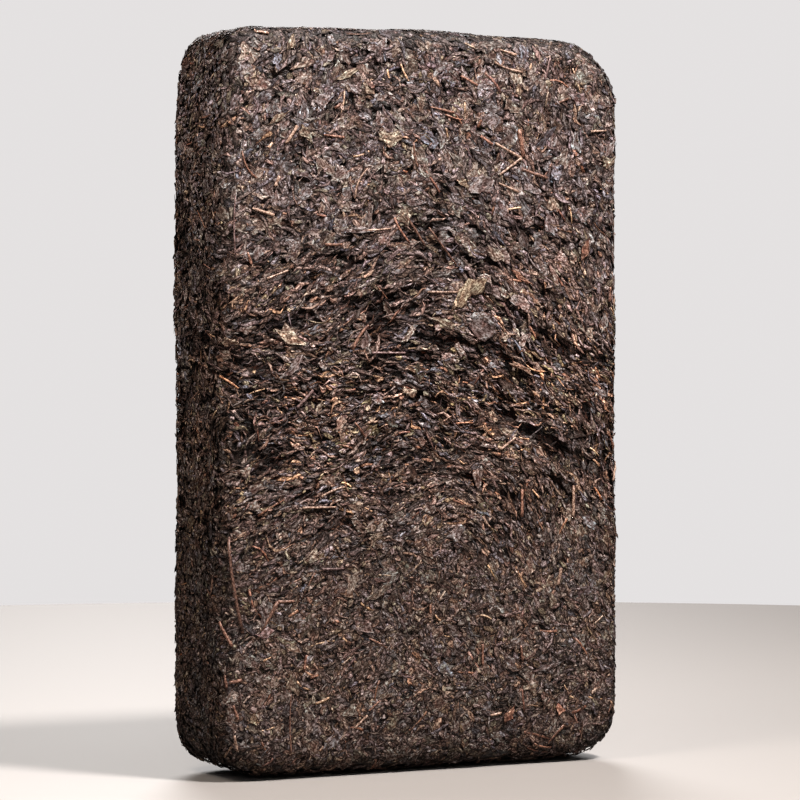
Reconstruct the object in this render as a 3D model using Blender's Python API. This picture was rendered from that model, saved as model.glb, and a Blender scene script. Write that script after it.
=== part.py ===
"""Fu brick tea: one pressed brick of dark tea leaf, standing on a short end.

Metres, +Z up. The origin is at the middle of the underside. The broad faces look along -Y
(the front) and +Y, the narrow sides along -X and +X. The brick is one solid: a block with
rounded corners and worn edges, whose faces carry the unevenness of the pressed leaf.
"""
from math import ceil, hypot

import bmesh
import bpy
from mathutils import Vector, noise

# Driving dimensions: the inside of the press mould, which the highest leaf just reaches
HEIGHT = 0.246
WIDTH = 0.1516
THICKNESS = 0.046
EDGE_RADIUS = 0.0085

# Corner radii of the broad faces, keyed by (side of X, side of Z)
CORNER_RADIUS = {(-1, 1): 0.010, (1, 1): 0.023, (-1, -1): 0.016, (1, -1): 0.018}

# The narrow side at -X leans in towards its top
LEAN = 0.0028
LEAN_HEIGHT = 0.042

# The top end is slightly domed: how far it falls at the narrow sides, and how the fall grows
CROWN = 0.0025
CROWN_MIDDLE = 0.004
CROWN_HEIGHT = 0.030
CROWN_POWER = 1.3

# Grid of the skin
FACE_CELL = 0.006
EDGE_STEPS = 3

# Unevenness of the pressed faces, all of it inwards
WAVE_LENGTH = 0.045
WAVE_DEPTH = 0.0012
RIPPLE_LENGTH = 0.016
RIPPLE_DEPTH = 0.0011

# Hollows and dents where leaf has come away: centre, radius, depth
FRONT = -THICKNESS / 2
BACK = THICKNESS / 2
LEFT = -WIDTH / 2
RIGHT = WIDTH / 2
HOLLOWS = [
    ((LEFT, FRONT, 0.130), 0.016, 0.0030),
    ((LEFT, 0.010, 0.117), 0.012, 0.0016),
    ((LEFT, BACK, 0.092), 0.010, 0.0016),
    ((LEFT, BACK, 0.134), 0.009, 0.0014),
    ((0.033, FRONT, 0.122), 0.014, 0.0018),
    ((-0.028, FRONT, 0.140), 0.020, 0.0010),
    ((0.020, FRONT, 0.090), 0.011, 0.0012),
    ((0.050, FRONT, 0.060), 0.022, 0.0008),
    ((-0.040, BACK, 0.165), 0.018, 0.0014),
    ((0.036, BACK, 0.070), 0.020, 0.0012),
    ((RIGHT, 0.006, 0.150), 0.012, 0.0014),
    ((0.030, -0.006, HEIGHT), 0.014, 0.0012),
]

# Flat part of the underside that the brick stands on, and the width of its blend into the rest
BASE_HALF_WIDTH = 0.052
BASE_HALF_DEPTH = 0.0135
BASE_BLEND = 0.006

LEAF_COLOUR = (0.060, 0.042, 0.034, 1.0)
LEAF_ROUGHNESS = 0.62


def cut_places(half, cell):
    """Places of the cuts across one axis: even cells, and finer steps round each edge."""
    inner = half - EDGE_RADIUS
    cells = ceil(2 * inner / cell)
    places = [-inner + 2 * inner * step / cells for step in range(cells + 1)]
    for step in range(1, EDGE_STEPS):
        offset = inner + EDGE_RADIUS * step / EDGE_STEPS
        places += [-offset, offset]
    return sorted(places)


def cut_across(mesh, axis, places):
    """Cut the whole mesh by planes across one axis."""
    normal = Vector((0.0, 0.0, 0.0))
    normal[axis] = 1.0
    for place in places:
        geometry = mesh.verts[:] + mesh.edges[:] + mesh.faces[:]
        bmesh.ops.bisect_plane(mesh, geom=geometry, plane_co=normal * place, plane_no=normal)


def disc_from_square(across, along):
    """Move a point of the unit square onto the unit disc, keeping its direction."""
    length = hypot(across, along)
    if length == 0.0:
        return 0.0, 0.0
    scale = max(across, along) / length
    return across * scale, along * scale


def round_corner(x, z):
    """Round the four corners of the broad faces. Heights are measured from the middle."""
    side_x = 1 if x > 0 else -1
    side_z = 1 if z > 0 else -1
    radius = CORNER_RADIUS[side_x, side_z]
    centre_x = WIDTH / 2 - radius
    centre_z = HEIGHT / 2 - radius
    over_x = (abs(x) - centre_x) / radius
    over_z = (abs(z) - centre_z) / radius
    if over_x <= 0.0 or over_z <= 0.0:
        return x, z
    over_x, over_z = disc_from_square(over_x, over_z)
    return side_x * (centre_x + over_x * radius), side_z * (centre_z + over_z * radius)


def round_edge(point, ring):
    """Round the edges between the broad faces and the narrow sides.

    ring runs from 0, at EDGE_RADIUS inside the outline, to 1 on the outline itself.
    """
    depth = (abs(point.y) - (THICKNESS / 2 - EDGE_RADIUS)) / EDGE_RADIUS
    if depth <= 0.0 or ring <= 0.0:
        return point
    new_ring, new_depth = disc_from_square(ring, depth)
    shrink = EDGE_RADIUS * (ring - new_ring)
    middle_z = point.z
    point.x *= 1.0 - shrink / (WIDTH / 2)
    point.z = middle_z * (1.0 - shrink / (HEIGHT / 2))
    side_y = 1 if point.y > 0 else -1
    point.y = side_y * (THICKNESS / 2 - EDGE_RADIUS + new_depth * EDGE_RADIUS)
    return point


def fade(distance, width):
    """Smooth step from 0 at no distance to 1 at the given width."""
    share = min(max(distance / width, 0.0), 1.0)
    return share * share * (3.0 - 2.0 * share)


def rounded(point):
    """Place of a point of the plain block on the rounded block."""
    inset = min(WIDTH / 2 - abs(point.x), HEIGHT / 2 - abs(point.z))
    ring = 1.0 - inset / EDGE_RADIUS
    x, z = round_corner(point.x, point.z)
    place = round_edge(Vector((x, point.y, z)), ring)
    place.z += HEIGHT / 2
    leftness = 0.5 - place.x / WIDTH
    place.x += LEAN * leftness * fade(place.z - (HEIGHT - LEAN_HEIGHT), LEAN_HEIGHT)
    off_middle = abs(place.x - CROWN_MIDDLE) / (WIDTH / 2)
    top_share = fade(place.z - (HEIGHT - CROWN_HEIGHT), CROWN_HEIGHT)
    place.z -= CROWN * off_middle ** CROWN_POWER * top_share
    return place


def depth_of_hollows(point):
    """How far the hollows and dents take the skin inwards at a point."""
    depth = 0.0
    for centre, radius, deepest in HOLLOWS:
        distance = (point - Vector(centre)).length
        depth += deepest * (1.0 - fade(distance, radius))
    return depth


def depth_of_waves(point):
    """How far the unevenness of pressing takes the skin inwards at a point."""
    wave = 0.5 + 0.5 * noise.noise(point / WAVE_LENGTH)
    ripple = 0.5 + 0.5 * noise.noise(point / RIPPLE_LENGTH + Vector((7.0, 3.0, 5.0)))
    return WAVE_DEPTH * wave + RIPPLE_DEPTH * ripple


def above_base(point):
    """0 on the flat part of the underside, 1 well away from it."""
    outside = max(abs(point.x) - BASE_HALF_WIDTH, abs(point.y) - BASE_HALF_DEPTH)
    return max(fade(outside, BASE_BLEND), fade(point.z, BASE_BLEND))


def uneven(vertex):
    """Place of a vertex of the rounded block on the uneven skin."""
    point = vertex.co
    depth = depth_of_waves(point) + depth_of_hollows(point)
    return point - vertex.normal * depth * above_base(point)


def leaf_material():
    material = bpy.data.materials.new("pressed_dark_leaf")
    material.use_nodes = True
    shader = material.node_tree.nodes["Principled BSDF"]
    shader.inputs["Base Color"].default_value = LEAF_COLOUR
    shader.inputs["Roughness"].default_value = LEAF_ROUGHNESS
    shader.inputs["Metallic"].default_value = 0.0
    return material


def tea_brick():
    mesh = bmesh.new()
    bmesh.ops.create_cube(mesh, size=1.0)
    bmesh.ops.scale(mesh, vec=(WIDTH, THICKNESS, HEIGHT), verts=mesh.verts)
    cut_across(mesh, 0, cut_places(WIDTH / 2, FACE_CELL))
    cut_across(mesh, 1, cut_places(THICKNESS / 2, FACE_CELL))
    cut_across(mesh, 2, cut_places(HEIGHT / 2, FACE_CELL))
    for vertex in mesh.verts:
        vertex.co = rounded(vertex.co)
    mesh.normal_update()
    places = [uneven(vertex) for vertex in mesh.verts]
    for vertex, place in zip(mesh.verts, places):
        vertex.co = place
    bmesh.ops.triangulate(mesh, faces=mesh.faces)

    data = bpy.data.meshes.new("tea_brick")
    mesh.to_mesh(data)
    mesh.free()
    data.shade_smooth()
    data.materials.append(leaf_material())
    return bpy.data.objects.new("tea_brick", data)


def main():
    for thing in list(bpy.data.objects):
        bpy.data.objects.remove(thing)
    collection = bpy.data.collections.new("fu_brick_tea")
    bpy.context.scene.collection.children.link(collection)
    collection.objects.link(tea_brick())


main()
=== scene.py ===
"""Looks of the fu brick tea: thousands of real leaf pieces and stems pressed onto a core.

The core and every piece of leaf follow the CAD brick's own skin. Lengths in millimetres are
multiplied by MM; positions come from the frame.
"""

import collections
import math

import bmesh
import bpy
import numpy as np
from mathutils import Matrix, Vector
from mathutils.bvhtree import BVHTree

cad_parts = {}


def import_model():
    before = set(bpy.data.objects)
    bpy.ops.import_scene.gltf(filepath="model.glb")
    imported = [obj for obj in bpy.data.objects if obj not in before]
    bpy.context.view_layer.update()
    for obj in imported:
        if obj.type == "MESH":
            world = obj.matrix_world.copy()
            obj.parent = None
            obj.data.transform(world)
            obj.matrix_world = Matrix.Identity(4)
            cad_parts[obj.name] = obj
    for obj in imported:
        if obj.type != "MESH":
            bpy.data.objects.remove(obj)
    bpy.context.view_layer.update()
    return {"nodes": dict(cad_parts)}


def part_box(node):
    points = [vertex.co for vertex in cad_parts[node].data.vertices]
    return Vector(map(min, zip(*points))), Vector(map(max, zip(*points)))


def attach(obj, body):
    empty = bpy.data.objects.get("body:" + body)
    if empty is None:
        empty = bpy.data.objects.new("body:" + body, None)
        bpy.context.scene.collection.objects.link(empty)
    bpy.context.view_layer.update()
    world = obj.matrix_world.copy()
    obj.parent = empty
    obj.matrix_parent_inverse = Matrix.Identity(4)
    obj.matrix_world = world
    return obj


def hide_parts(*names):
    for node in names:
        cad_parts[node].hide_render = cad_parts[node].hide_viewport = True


MM = 0.001
SEED = 20

NODE = "tea_brick"
BODY = "root"


# ---- the skin

class Skin:
    """The brick's smooth outer surface: points on it, and the way out at each of them."""

    def __init__(self, mesh):
        mesh.calc_loop_triangles()
        self.places = np.array([vertex.co for vertex in mesh.vertices])
        self.triangles = np.array([triangle.vertices for triangle in mesh.loop_triangles])
        corners = self.places[self.triangles]
        across = np.cross(corners[:, 1] - corners[:, 0], corners[:, 2] - corners[:, 0])
        self.areas = np.linalg.norm(across, axis=1) / 2
        outwards = np.zeros_like(self.places)
        for corner in range(3):
            np.add.at(outwards, self.triangles[:, corner], across)
        self.outwards = unit(outwards)
        self.tree = BVHTree.FromPolygons(self.places.tolist(), self.triangles.tolist())

    def scatter(self, rng, count, weight):
        """Random points on the skin, by area and by a weight for each triangle."""
        chance = self.areas * weight
        chosen = rng.choice(len(chance), count, p=chance / chance.sum())
        share = rng.random((count, 2))
        beyond = share.sum(1) > 1
        share[beyond] = 1 - share[beyond]
        shares = np.column_stack([1 - share.sum(1), share])
        corners = self.places[self.triangles[chosen]]
        ways = self.outwards[self.triangles[chosen]]
        places = np.einsum("nk,nkd->nd", shares, corners)
        return places, unit(np.einsum("nk,nkd->nd", shares, ways))

    def nearest(self, points):
        """The nearest point of the skin to each point, and the way out there."""
        found = [self.tree.find_nearest(point) for point in points.reshape(-1, 3).tolist()]
        places = np.array([place for place, _, _, _ in found])
        corners = self.triangles[[face for _, _, face, _ in found]]
        a, b, c = (self.places[corners[:, k]] for k in range(3))
        shares = barycentric(places, a, b, c)
        outwards = unit(np.einsum("nk,nkd->nd", shares, self.outwards[corners]))
        return places.reshape(points.shape), outwards.reshape(points.shape)


def unit(vectors):
    return vectors / np.maximum(np.linalg.norm(vectors, axis=-1, keepdims=True), 1e-12)


def barycentric(points, a, b, c):
    """Weights of a triangle's three corners at a point in it."""
    ab, ac, ap = b - a, c - a, points - a
    d00 = (ab * ab).sum(-1)
    d01 = (ab * ac).sum(-1)
    d11 = (ac * ac).sum(-1)
    d20 = (ap * ab).sum(-1)
    d21 = (ap * ac).sum(-1)
    scale = np.maximum(d00 * d11 - d01 * d01, 1e-30)
    v = (d11 * d20 - d01 * d21) / scale
    w = (d00 * d21 - d01 * d20) / scale
    return np.clip(np.column_stack([1 - v - w, v, w]), 0, 1)


def smooth_copy(node):
    """A closed, welded and smoothed copy of a CAD node's mesh."""
    mesh = bmesh.new()
    mesh.from_mesh(node.data)
    bmesh.ops.remove_doubles(mesh, verts=mesh.verts, dist=0.01 * MM)
    bmesh.ops.join_triangles(
        mesh, faces=mesh.faces, angle_face_threshold=math.pi, angle_shape_threshold=math.pi
    )
    data = bpy.data.meshes.new("skin_cage")
    mesh.to_mesh(data)
    mesh.free()
    cage = linked("skin_cage", data)
    smooth = cage.modifiers.new("smooth", "SUBSURF")
    smooth.levels = 1
    evaluated = cage.evaluated_get(bpy.context.evaluated_depsgraph_get())
    result = bpy.data.meshes.new_from_object(evaluated)
    bpy.data.objects.remove(cage)
    return result


# ---- the lie of the leaf

class Field:
    """A smooth random field: a value from 0 to 1 at each place, over a lattice of random values."""

    POINTS = 64

    def __init__(self, seed):
        self.table = np.random.default_rng(seed).random((self.POINTS,) * 3)

    def __call__(self, places, size=1.0, shift=0.0):
        """Values for a lattice of this size. Another shift gives other values."""
        points = places / size + shift
        base = np.floor(points).astype(int)
        part = points - base
        part = part * part * (3 - 2 * part)
        total = np.zeros(len(points))
        for corner in np.ndindex(2, 2, 2):
            weight = np.prod(np.where(corner, part, 1 - part), axis=1)
            x, y, z = ((base + corner) % self.POINTS).T
            total += weight * self.table[x, y, z]
        return total


def smooth_step(values, start, end):
    """0 up to start, 1 from end on, and smooth between. end may be the lower."""
    share = np.clip((values - start) / (end - start), 0, 1)
    return share * share * (3 - 2 * share)


def ways_along(outwards):
    """Two directions in the skin at each point: to the right as seen from outside, and up."""
    up = np.tile([0.0, 0.0, 1.0], (len(outwards), 1))
    level = np.abs(outwards[:, 2]) > 0.8
    up[level] = [0.0, 1.0, 0.0]
    right = unit(np.cross(up, outwards))
    return right, np.cross(outwards, right)


class Spots:
    """Places on the skin and the ways out there, and what is worked out from them."""

    def __init__(self, places, outwards, middle):
        self.places = places
        self.outwards = outwards
        self.right, self.rise = ways_along(outwards)
        self.mm = places / MM
        self.offset = (places - middle) / MM
        self.across = ((places - middle) * self.right).sum(1) / MM
        self.up = self.offset[:, 2]
        # How squarely each faces front or back, and how much it is on a side or an end.
        self.facing = np.abs(outwards[:, 1])
        self.narrow = smooth_step(self.facing, 0.8, 0.4)


# Across the middle of a broad face, the band, the leaf lies in arches: rising on the left, level
# in the middle and falling on the right. Places are in mm from the middle of the face, as seen
# from outside, and angles in radians.
ARCH_MIDDLE = -6.0
ARCH_LEFT, ARCH_RIGHT = math.radians(24), math.radians(-44)
ARCH_REACH = 52.0
BAND_LOW, BAND_HIGH = -40.0, 50.0
BAND_BLEND = 25.0

# How much the leaf lies in order outside the band and off the broad faces, and how squarely a
# spot has to face a broad face's or an end's way to be on it.
LEAST_ORDER = 0.25
SIDE_ORDER = 0.6
BROAD = 0.7

# How far the common way sways on broad faces and on narrow sides, and over what size.
SWAY = (1.5, 22.0)
SIDE_SWAY = (2.4, 9.0)

# How far pieces turn from the common way and which share of them follows it, without order, and
# what order adds to both.
TURN_SPREAD = (0.75, -0.47)
FOLLOWING = (0.35, 0.55)

# In the dent of the left edge the leaf curls round the dent, and painted shade makes it darker.
DENT_PLACE = (-70.0, -20.0, -12.0)
DENT_REACH = 10.0
DENT_SPREAD = 0.4
DENT_SHADE = 0.35

# Heights between which the leaf turns calm, low on the brick, and pressed flat, high on it. They
# wander this far, over this size and with this shift, so that no change runs along a line.
CALM_HEIGHTS = (-8.0, -55.0)
PRESSED_HEIGHTS = (0.0, 60.0)
UNEVEN = (40.0, 26.0, 40.0)

# Leaf has flaked away in steps, and there are narrow gaps between its strips: sizes in mm across,
# through and up, the values of the random field at which each step falls, and depths in mm. They
# are least deep out of order, and where the leaf is calm they lose a share of CALMED.
LAYER_SIZES = (15.0, 9.0, 5.5)
LAYER_EDGES = [(0.50, 0.53), (0.60, 0.63), (0.68, 0.71)]
LAYER_STEP = 0.32
CRACK_FREQUENCY = (1.3, 1.3, 2.2)
CRACK_EDGE = (0.80, 0.96)
CRACK_DEPTH = 0.8
LEAST_STRENGTH = 0.2
CALMED = 0.6

# Long dark gaps between the layers of the front, to the nearest 5 mm: mm across and up, turn in
# degrees, length and width. Then their depth, their sway, and how wide their ends and banks are.
FRONT_GAPS = [
    (-30, 45, 175, 20, 1.5), (-10, 35, 15, 20, 2.0), (20, 45, 160, 20, 1.5),
    (10, 20, 175, 25, 1.5), (40, -10, 150, 40, 3.0), (25, -30, 155, 30, 1.5),
    (50, -30, 150, 20, 2.0),
]
GAP_DEPTH = 1.5
GAP_SWAY = (5.0, 6.0, 60.0)
GAP_END = 6.0
GAP_BANK = 1.2

# A broad dusty patch right of the middle of a face, leaf lighter near the top, painted shade on the
# foot and on the top end of the brick, and small patches of light and hue all over.
DUSTY_PLACE = (40.0, 35.0)
DUSTY_REACH = 45.0
DUSTY = 0.30
TOP_LIGHTENING_HEIGHTS = (45.0, 70.0)
TOP_LIGHTENING = 0.22
FOOT_HEIGHTS = (-92.0, -120.0)
FOOT_SHADE = 0.25
END_SLANTS = (0.05, 0.55)
END_SHADE = 0.6
PATCH_SIZE, SMALL_PATCH_SIZE, HUE_SIZE = 11.0, 5.0, 7.0
PATCHINESS = 0.18
HUE_PATCHES = np.array([-0.05, 0.01, 0.06])

# Colour factors low on the brick, in the band and near the top, and their heights in mm: partly the
# leaf's own tone and partly painted light and shade by height.
TONE_HEIGHTS = (-60.0, 0.0, 60.0)
TONE_AND_PAINTED_LIGHT = ((0.81, 0.825, 0.87), (1.30, 1.305, 1.34), (0.78, 0.825, 0.935))
# Painted shade on the narrow sides: how light they are beside the broad faces at those heights.
SIDE_PAINTED_SHADE = (0.79, 0.80, 0.98)


class Lie:
    """How the leaf and the layers under it lie at spots on the brick."""

    def __init__(self):
        self.layers = Field(SEED + 50)
        self.wander = Field(SEED + 51)
        self.patches = Field(SEED + 52)

    def stray(self, spots, far, size, shift=0.0):
        """How far something strays at each spot, from -far / 2 to far / 2."""
        return far * (self.wander(spots.mm, size, shift) - 0.5)

    def uneven(self, spots):
        """Heights that wander."""
        return spots.up + self.stray(spots, *UNEVEN)

    def order(self, spots):
        """How much the leaf lies in order: 1 in the band, less above and below."""
        up = self.uneven(spots)
        rising = smooth_step(up, BAND_LOW - BAND_BLEND, BAND_LOW)
        falling = smooth_step(up, BAND_HIGH, BAND_HIGH + BAND_BLEND)
        return LEAST_ORDER + (1 - LEAST_ORDER) * rising * (1 - falling)

    def pressed(self, spots):
        """How flat the leaf is pressed: 1 high on the broad faces, 0 from the band down."""
        high = smooth_step(self.uneven(spots), *PRESSED_HEIGHTS)
        return high * smooth_step(spots.facing, 0.5, 0.9)

    def calm(self, spots):
        """1 where the leaf lies small and even, low on the broad faces, and 0 above."""
        low = smooth_step(self.uneven(spots), *CALM_HEIGHTS)
        return low * smooth_step(spots.facing, 0.3, 0.8)

    def common_way(self, spots, order):
        """The way that the leaf lies in, in radians from level."""
        share = np.clip((spots.across - ARCH_MIDDLE) / ARCH_REACH, -1, 1)
        arch = np.where(share < 0, -share * ARCH_LEFT, share * ARCH_RIGHT)
        face_way = arch + self.stray(spots, *SWAY) * (1.3 - 0.6 * order)
        way = np.where(spots.facing > BROAD, face_way, self.stray(spots, *SIDE_SWAY))
        way[np.abs(spots.outwards[:, 2]) > BROAD] = 0.0
        return way

    def angles(self, rng, spots):
        """How far each piece is turned in the skin, in radians from level."""
        count = len(spots.up)
        order = self.order(spots)
        way = self.common_way(spots, order)
        order[spots.facing <= BROAD] = SIDE_ORDER
        angles = way + rng.normal(0, 1, count) * (TURN_SPREAD[0] + TURN_SPREAD[1] * order)
        loose = rng.random(count) > FOLLOWING[0] + FOLLOWING[1] * order
        angles[loose] = rng.uniform(0, math.pi, loose.sum())
        distance, around = from_dent(spots)
        inside = distance < DENT_REACH
        angles[inside] = around[inside] + rng.normal(0, DENT_SPREAD, inside.sum())
        return angles + math.pi * (rng.random(count) < 0.5)

    def tone(self, spots):
        """Colour factor: patches of dust, light and hue, and painted light and shade by place."""
        small = self.patches(spots.mm, SMALL_PATCH_SIZE, 9.0)
        patch = self.patches(spots.mm, PATCH_SIZE) + 0.5 * small
        light = np.exp(PATCHINESS * (patch - 0.75))
        light *= 1 + TOP_LIGHTENING * smooth_step(spots.up, *TOP_LIGHTENING_HEIGHTS)
        from_dusty = np.hypot(spots.across - DUSTY_PLACE[0], spots.up - DUSTY_PLACE[1])
        light *= 1 + DUSTY * smooth_step(from_dusty, DUSTY_REACH, 0.0) * spots.facing
        # Painted shade on the foot.
        light *= 1 - FOOT_SHADE * smooth_step(spots.up, *FOOT_HEIGHTS)
        # Painted light and shade on the narrow sides, by height.
        light *= 1 + spots.narrow * (np.interp(spots.up, TONE_HEIGHTS, SIDE_PAINTED_SHADE) - 1)
        # Painted shade in the dent.
        light *= 1 - DENT_SHADE * smooth_step(from_dent(spots)[0], DENT_REACH + 4, DENT_REACH - 4)
        hue = (2 * self.wander(spots.mm, HUE_SIZE, 20.0) - 1) * (2 - spots.facing)
        # Tone and painted light and shade by height, with patches of hue.
        colour = [np.interp(spots.up, TONE_HEIGHTS, channel) for channel in zip(*TONE_AND_PAINTED_LIGHT)]
        colour = np.column_stack(colour) * np.exp(hue[:, None] * HUE_PATCHES)
        # Painted shade on the top end.
        end = smooth_step(spots.outwards[:, 2], *END_SLANTS)
        return light[:, None] * colour * (1 - END_SHADE * end[:, None])

    def along_the_lie(self, spots):
        """Places for a field whose values run in arches, as the leaf does."""
        offset = np.clip(spots.across - ARCH_MIDDLE, -ARCH_REACH, ARCH_REACH)
        steepest = np.where(offset < 0, math.tan(ARCH_LEFT), math.tan(-ARCH_RIGHT))
        fallen = steepest * offset ** 2 / (2 * ARCH_REACH) * spots.facing
        return np.column_stack([spots.across, spots.mm[:, 1], spots.up + fallen]) / LAYER_SIZES

    def strength(self, spots):
        """How strongly layers and gaps show: most in the band, least where the leaf is calm."""
        strength = LEAST_STRENGTH + (1 - LEAST_STRENGTH) * self.order(spots)
        return strength * (1 - CALMED * self.calm(spots))

    def depth(self, spots):
        """Depth in mm of the layer that shows."""
        points = self.along_the_lie(spots)
        value = 0.7 * self.layers(points) + 0.3 * self.layers(points * 2.3 + 11.0)
        steps = sum(smooth_step(value, *edge) for edge in LAYER_EDGES)
        return self.strength(spots) * LAYER_STEP * steps

    def cracks(self, spots):
        """Depth in mm of the gaps between strips of leaf, which run along its lie."""
        points = self.along_the_lie(spots) * CRACK_FREQUENCY + 31.0
        closeness = 1 - np.abs(2 * self.layers(points) - 1)
        depth = CRACK_DEPTH * self.strength(spots) * smooth_step(closeness, *CRACK_EDGE)
        return np.maximum(depth, self.gaps(spots))

    def gaps(self, spots):
        """Depth in mm of the long gaps that stand out on the front."""
        sway = self.stray(spots, *GAP_SWAY)
        deepest = np.zeros(len(sway))
        for middle, height, turn, length, width in FRONT_GAPS:
            across, up = spots.across - middle, spots.up - height
            cosine, sine = math.cos(math.radians(turn)), math.sin(math.radians(turn))
            along = across * cosine + up * sine
            aside = up * cosine - across * sine + sway
            inside = smooth_step(length / 2 - np.abs(along), 0.0, GAP_END)
            inside *= smooth_step(width / 2 - np.abs(aside), -GAP_BANK, 0.0)
            deepest = np.maximum(deepest, inside)
        return GAP_DEPTH * deepest * smooth_step(-spots.outwards[:, 1], 0.4, 0.8)


def from_dent(spots):
    """How far each spot is from the dent in mm, and the way round the dent there."""
    offset = spots.offset - DENT_PLACE
    around = np.arctan2((offset * spots.rise).sum(1), (offset * spots.right).sum(1)) + math.pi / 2
    return np.linalg.norm(offset, axis=1), around


# ---- forms of one piece

def between(rng, low, high, shape):
    return low + (high - low) * rng.random(shape)


class Form:
    """Many pieces of one kind: their points in mm, faces, places on the UV map, and the painted
    light and shade of each point.

    inner is 0 at the points on the rim of a piece, from rim on out, and 1 at the others.
    """

    def __init__(self, shape, faces, flat, light=None, rim=0.7, smooth=False):
        self.shape = shape
        self.faces = faces
        self.flat = flat
        self.light = light
        self.inner = (np.abs(flat).max(1) < rim).astype(float)
        self.smooth = smooth


def grid_faces(rows, columns):
    """Triangles of a grid of points with this many squares along and across."""
    faces = []
    for row in range(rows):
        for column in range(columns):
            a = row * (columns + 1) + column
            b, c, d = a + columns + 1, a + columns + 2, a + 1
            faces += [(a, b, c), (a, c, d)]
    return faces


def bits(rng, lengths, widths, lifts, outline, fold, wander, rise):
    """Points of torn bits of leaf: a ragged rim round a fold that stands higher.

    wander is how far the fold's points stray, and rise how high they stand as a share of lifts.
    """
    count, rim, inside = len(lengths), len(outline), len(fold)
    flat = np.array(outline + fold)
    shape = np.tile(np.column_stack([flat, np.zeros(len(flat))]), (count, 1, 1))
    shape[:, :rim, :2] *= between(rng, 0.6, 1.25, (count, rim, 1))
    shape[:, rim:, :2] += rng.normal(0, wander, (count, inside, 2))
    shape[:, :, 0] *= lengths[:, None] / 2
    shape[:, :, 1] *= widths[:, None] / 2
    shape[:, :, 0] += shape[:, :, 1] * rng.normal(0, 0.3, (count, 1))
    shape[:, :rim, 2] = lifts[:, None] * rng.normal(0, 0.5, (count, rim))
    shape[:, rim:, 2] = lifts[:, None] * between(rng, *rise, (count, inside))
    return shape, flat


SHARD_OUTLINE = [(1.0, 0.1), (0.2, 0.95), (-0.9, 0.45), (-0.75, -0.6), (0.35, -0.95)]
SHARD_PEAK = [(0.0, 0.0)]


def shards(rng, lengths, widths, lifts):
    """Small broken bits of leaf: a ragged rim with a low peak on the fold."""
    shape, flat = bits(rng, lengths, widths, lifts, SHARD_OUTLINE, SHARD_PEAK, 0.25, (0.8, 2.0))
    count, rim = len(lengths), len(SHARD_OUTLINE)
    # Painted shade on the rim, deeper or lighter at random, and a painted highlight on the peak.
    at_rim = between(rng, 0.15, 1.0, (count, rim))
    light = np.column_stack([at_rim, between(rng, 1.0, 1.7, count)])
    faces = [(k, (k + 1) % rim, rim) for k in range(rim)]
    return Form(shape, faces, flat, light)


# The last two points of a flake are the ends of its fold.
FLAKE_OUTLINE = [(1.0, 0.05), (0.45, 0.92), (-0.4, 1.0), (-1.0, 0.1), (-0.5, -0.95), (0.5, -0.9)]
FLAKE_FOLD = [(0.38, 0.0), (-0.38, 0.0)]
FLAKE_FACES = [
    (0, 1, 6), (1, 2, 6), (2, 7, 6), (2, 3, 7), (3, 4, 7), (4, 5, 7), (5, 6, 7), (5, 0, 6)
]


def flakes(rng, lengths, widths, lifts):
    """Torn flat bits of leaf, with a ragged rim and a fold along the middle."""
    shape, flat = bits(rng, lengths, widths, lifts, FLAKE_OUTLINE, FLAKE_FOLD, 0.15, (0.3, 1.6))
    # Painted shade on the rim and a painted highlight on the fold, each varying at random.
    light = between(rng, 0.35, 1.15, shape.shape[:2])
    light[:, -2:] = between(rng, 0.85, 1.4, (len(lengths), 2))
    return Form(shape, FLAKE_FACES, flat, light)


RIBBON_STEPS = 4


def ribbons(rng, lengths, widths, lifts):
    """Narrow leaf folded along its middle, bent and twisted, and thin at both ends."""
    count = len(lengths)
    along = np.linspace(-1, 1, RIBBON_STEPS + 1)
    bend = rng.normal(0, 0.16, (count, 1))
    wave = rng.normal(0, 0.05, (count, 1))
    taper = np.sqrt(1 - 0.9 * along ** 2)
    half = widths[:, None] / 2 * taper * between(rng, 0.75, 1.2, (count, len(along)))
    x = lengths[:, None] / 2 * along * (1 - 0.3 * bend ** 2)
    y = lengths[:, None] * (bend * (along ** 2 - 0.35) + wave * np.sin(4.5 * along))
    roll = rng.normal(0, 0.35, (count, 1)) + rng.normal(0, 0.35, (count, 1)) * along
    rise = lifts[:, None] * rng.normal(0, 0.4, (count, len(along)))
    shape = np.zeros((count, len(along), 3, 3))
    flat = np.zeros((len(along), 3, 2))
    for row, side in enumerate((-1, 0, 1)):
        shape[:, :, row, 0] = x
        shape[:, :, row, 1] = y + side * half
        shape[:, :, row, 2] = rise + side * half * roll - abs(side) * lifts[:, None]
        flat[:, row, 0] = along
        flat[:, row, 1] = side
    # Painted shade on both sides and a painted highlight along the fold, each varying at random.
    light = between(rng, 0.5, 1.15, shape.shape[:3])
    light[:, :, 1] = between(rng, 0.85, 1.4, (count, len(along)))
    return Form(shape.reshape(count, -1, 3), grid_faces(RIBBON_STEPS, 2), flat.reshape(-1, 2),
                light.reshape(count, -1))


STEM_SIDES = 5


def stem_faces(rings):
    """Triangles of a round stalk with closed ends."""
    top = STEM_SIDES * (rings - 1)
    faces = []
    for low in range(0, top, STEM_SIDES):
        for k in range(STEM_SIDES):
            a, b = low + k, low + (k + 1) % STEM_SIDES
            faces += [(a, b + STEM_SIDES, b), (a, a + STEM_SIDES, b + STEM_SIDES)]
    for k in range(1, STEM_SIDES - 1):
        faces += [(0, k, k + 1), (top, top + k + 1, top + k)]
    return faces


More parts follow.
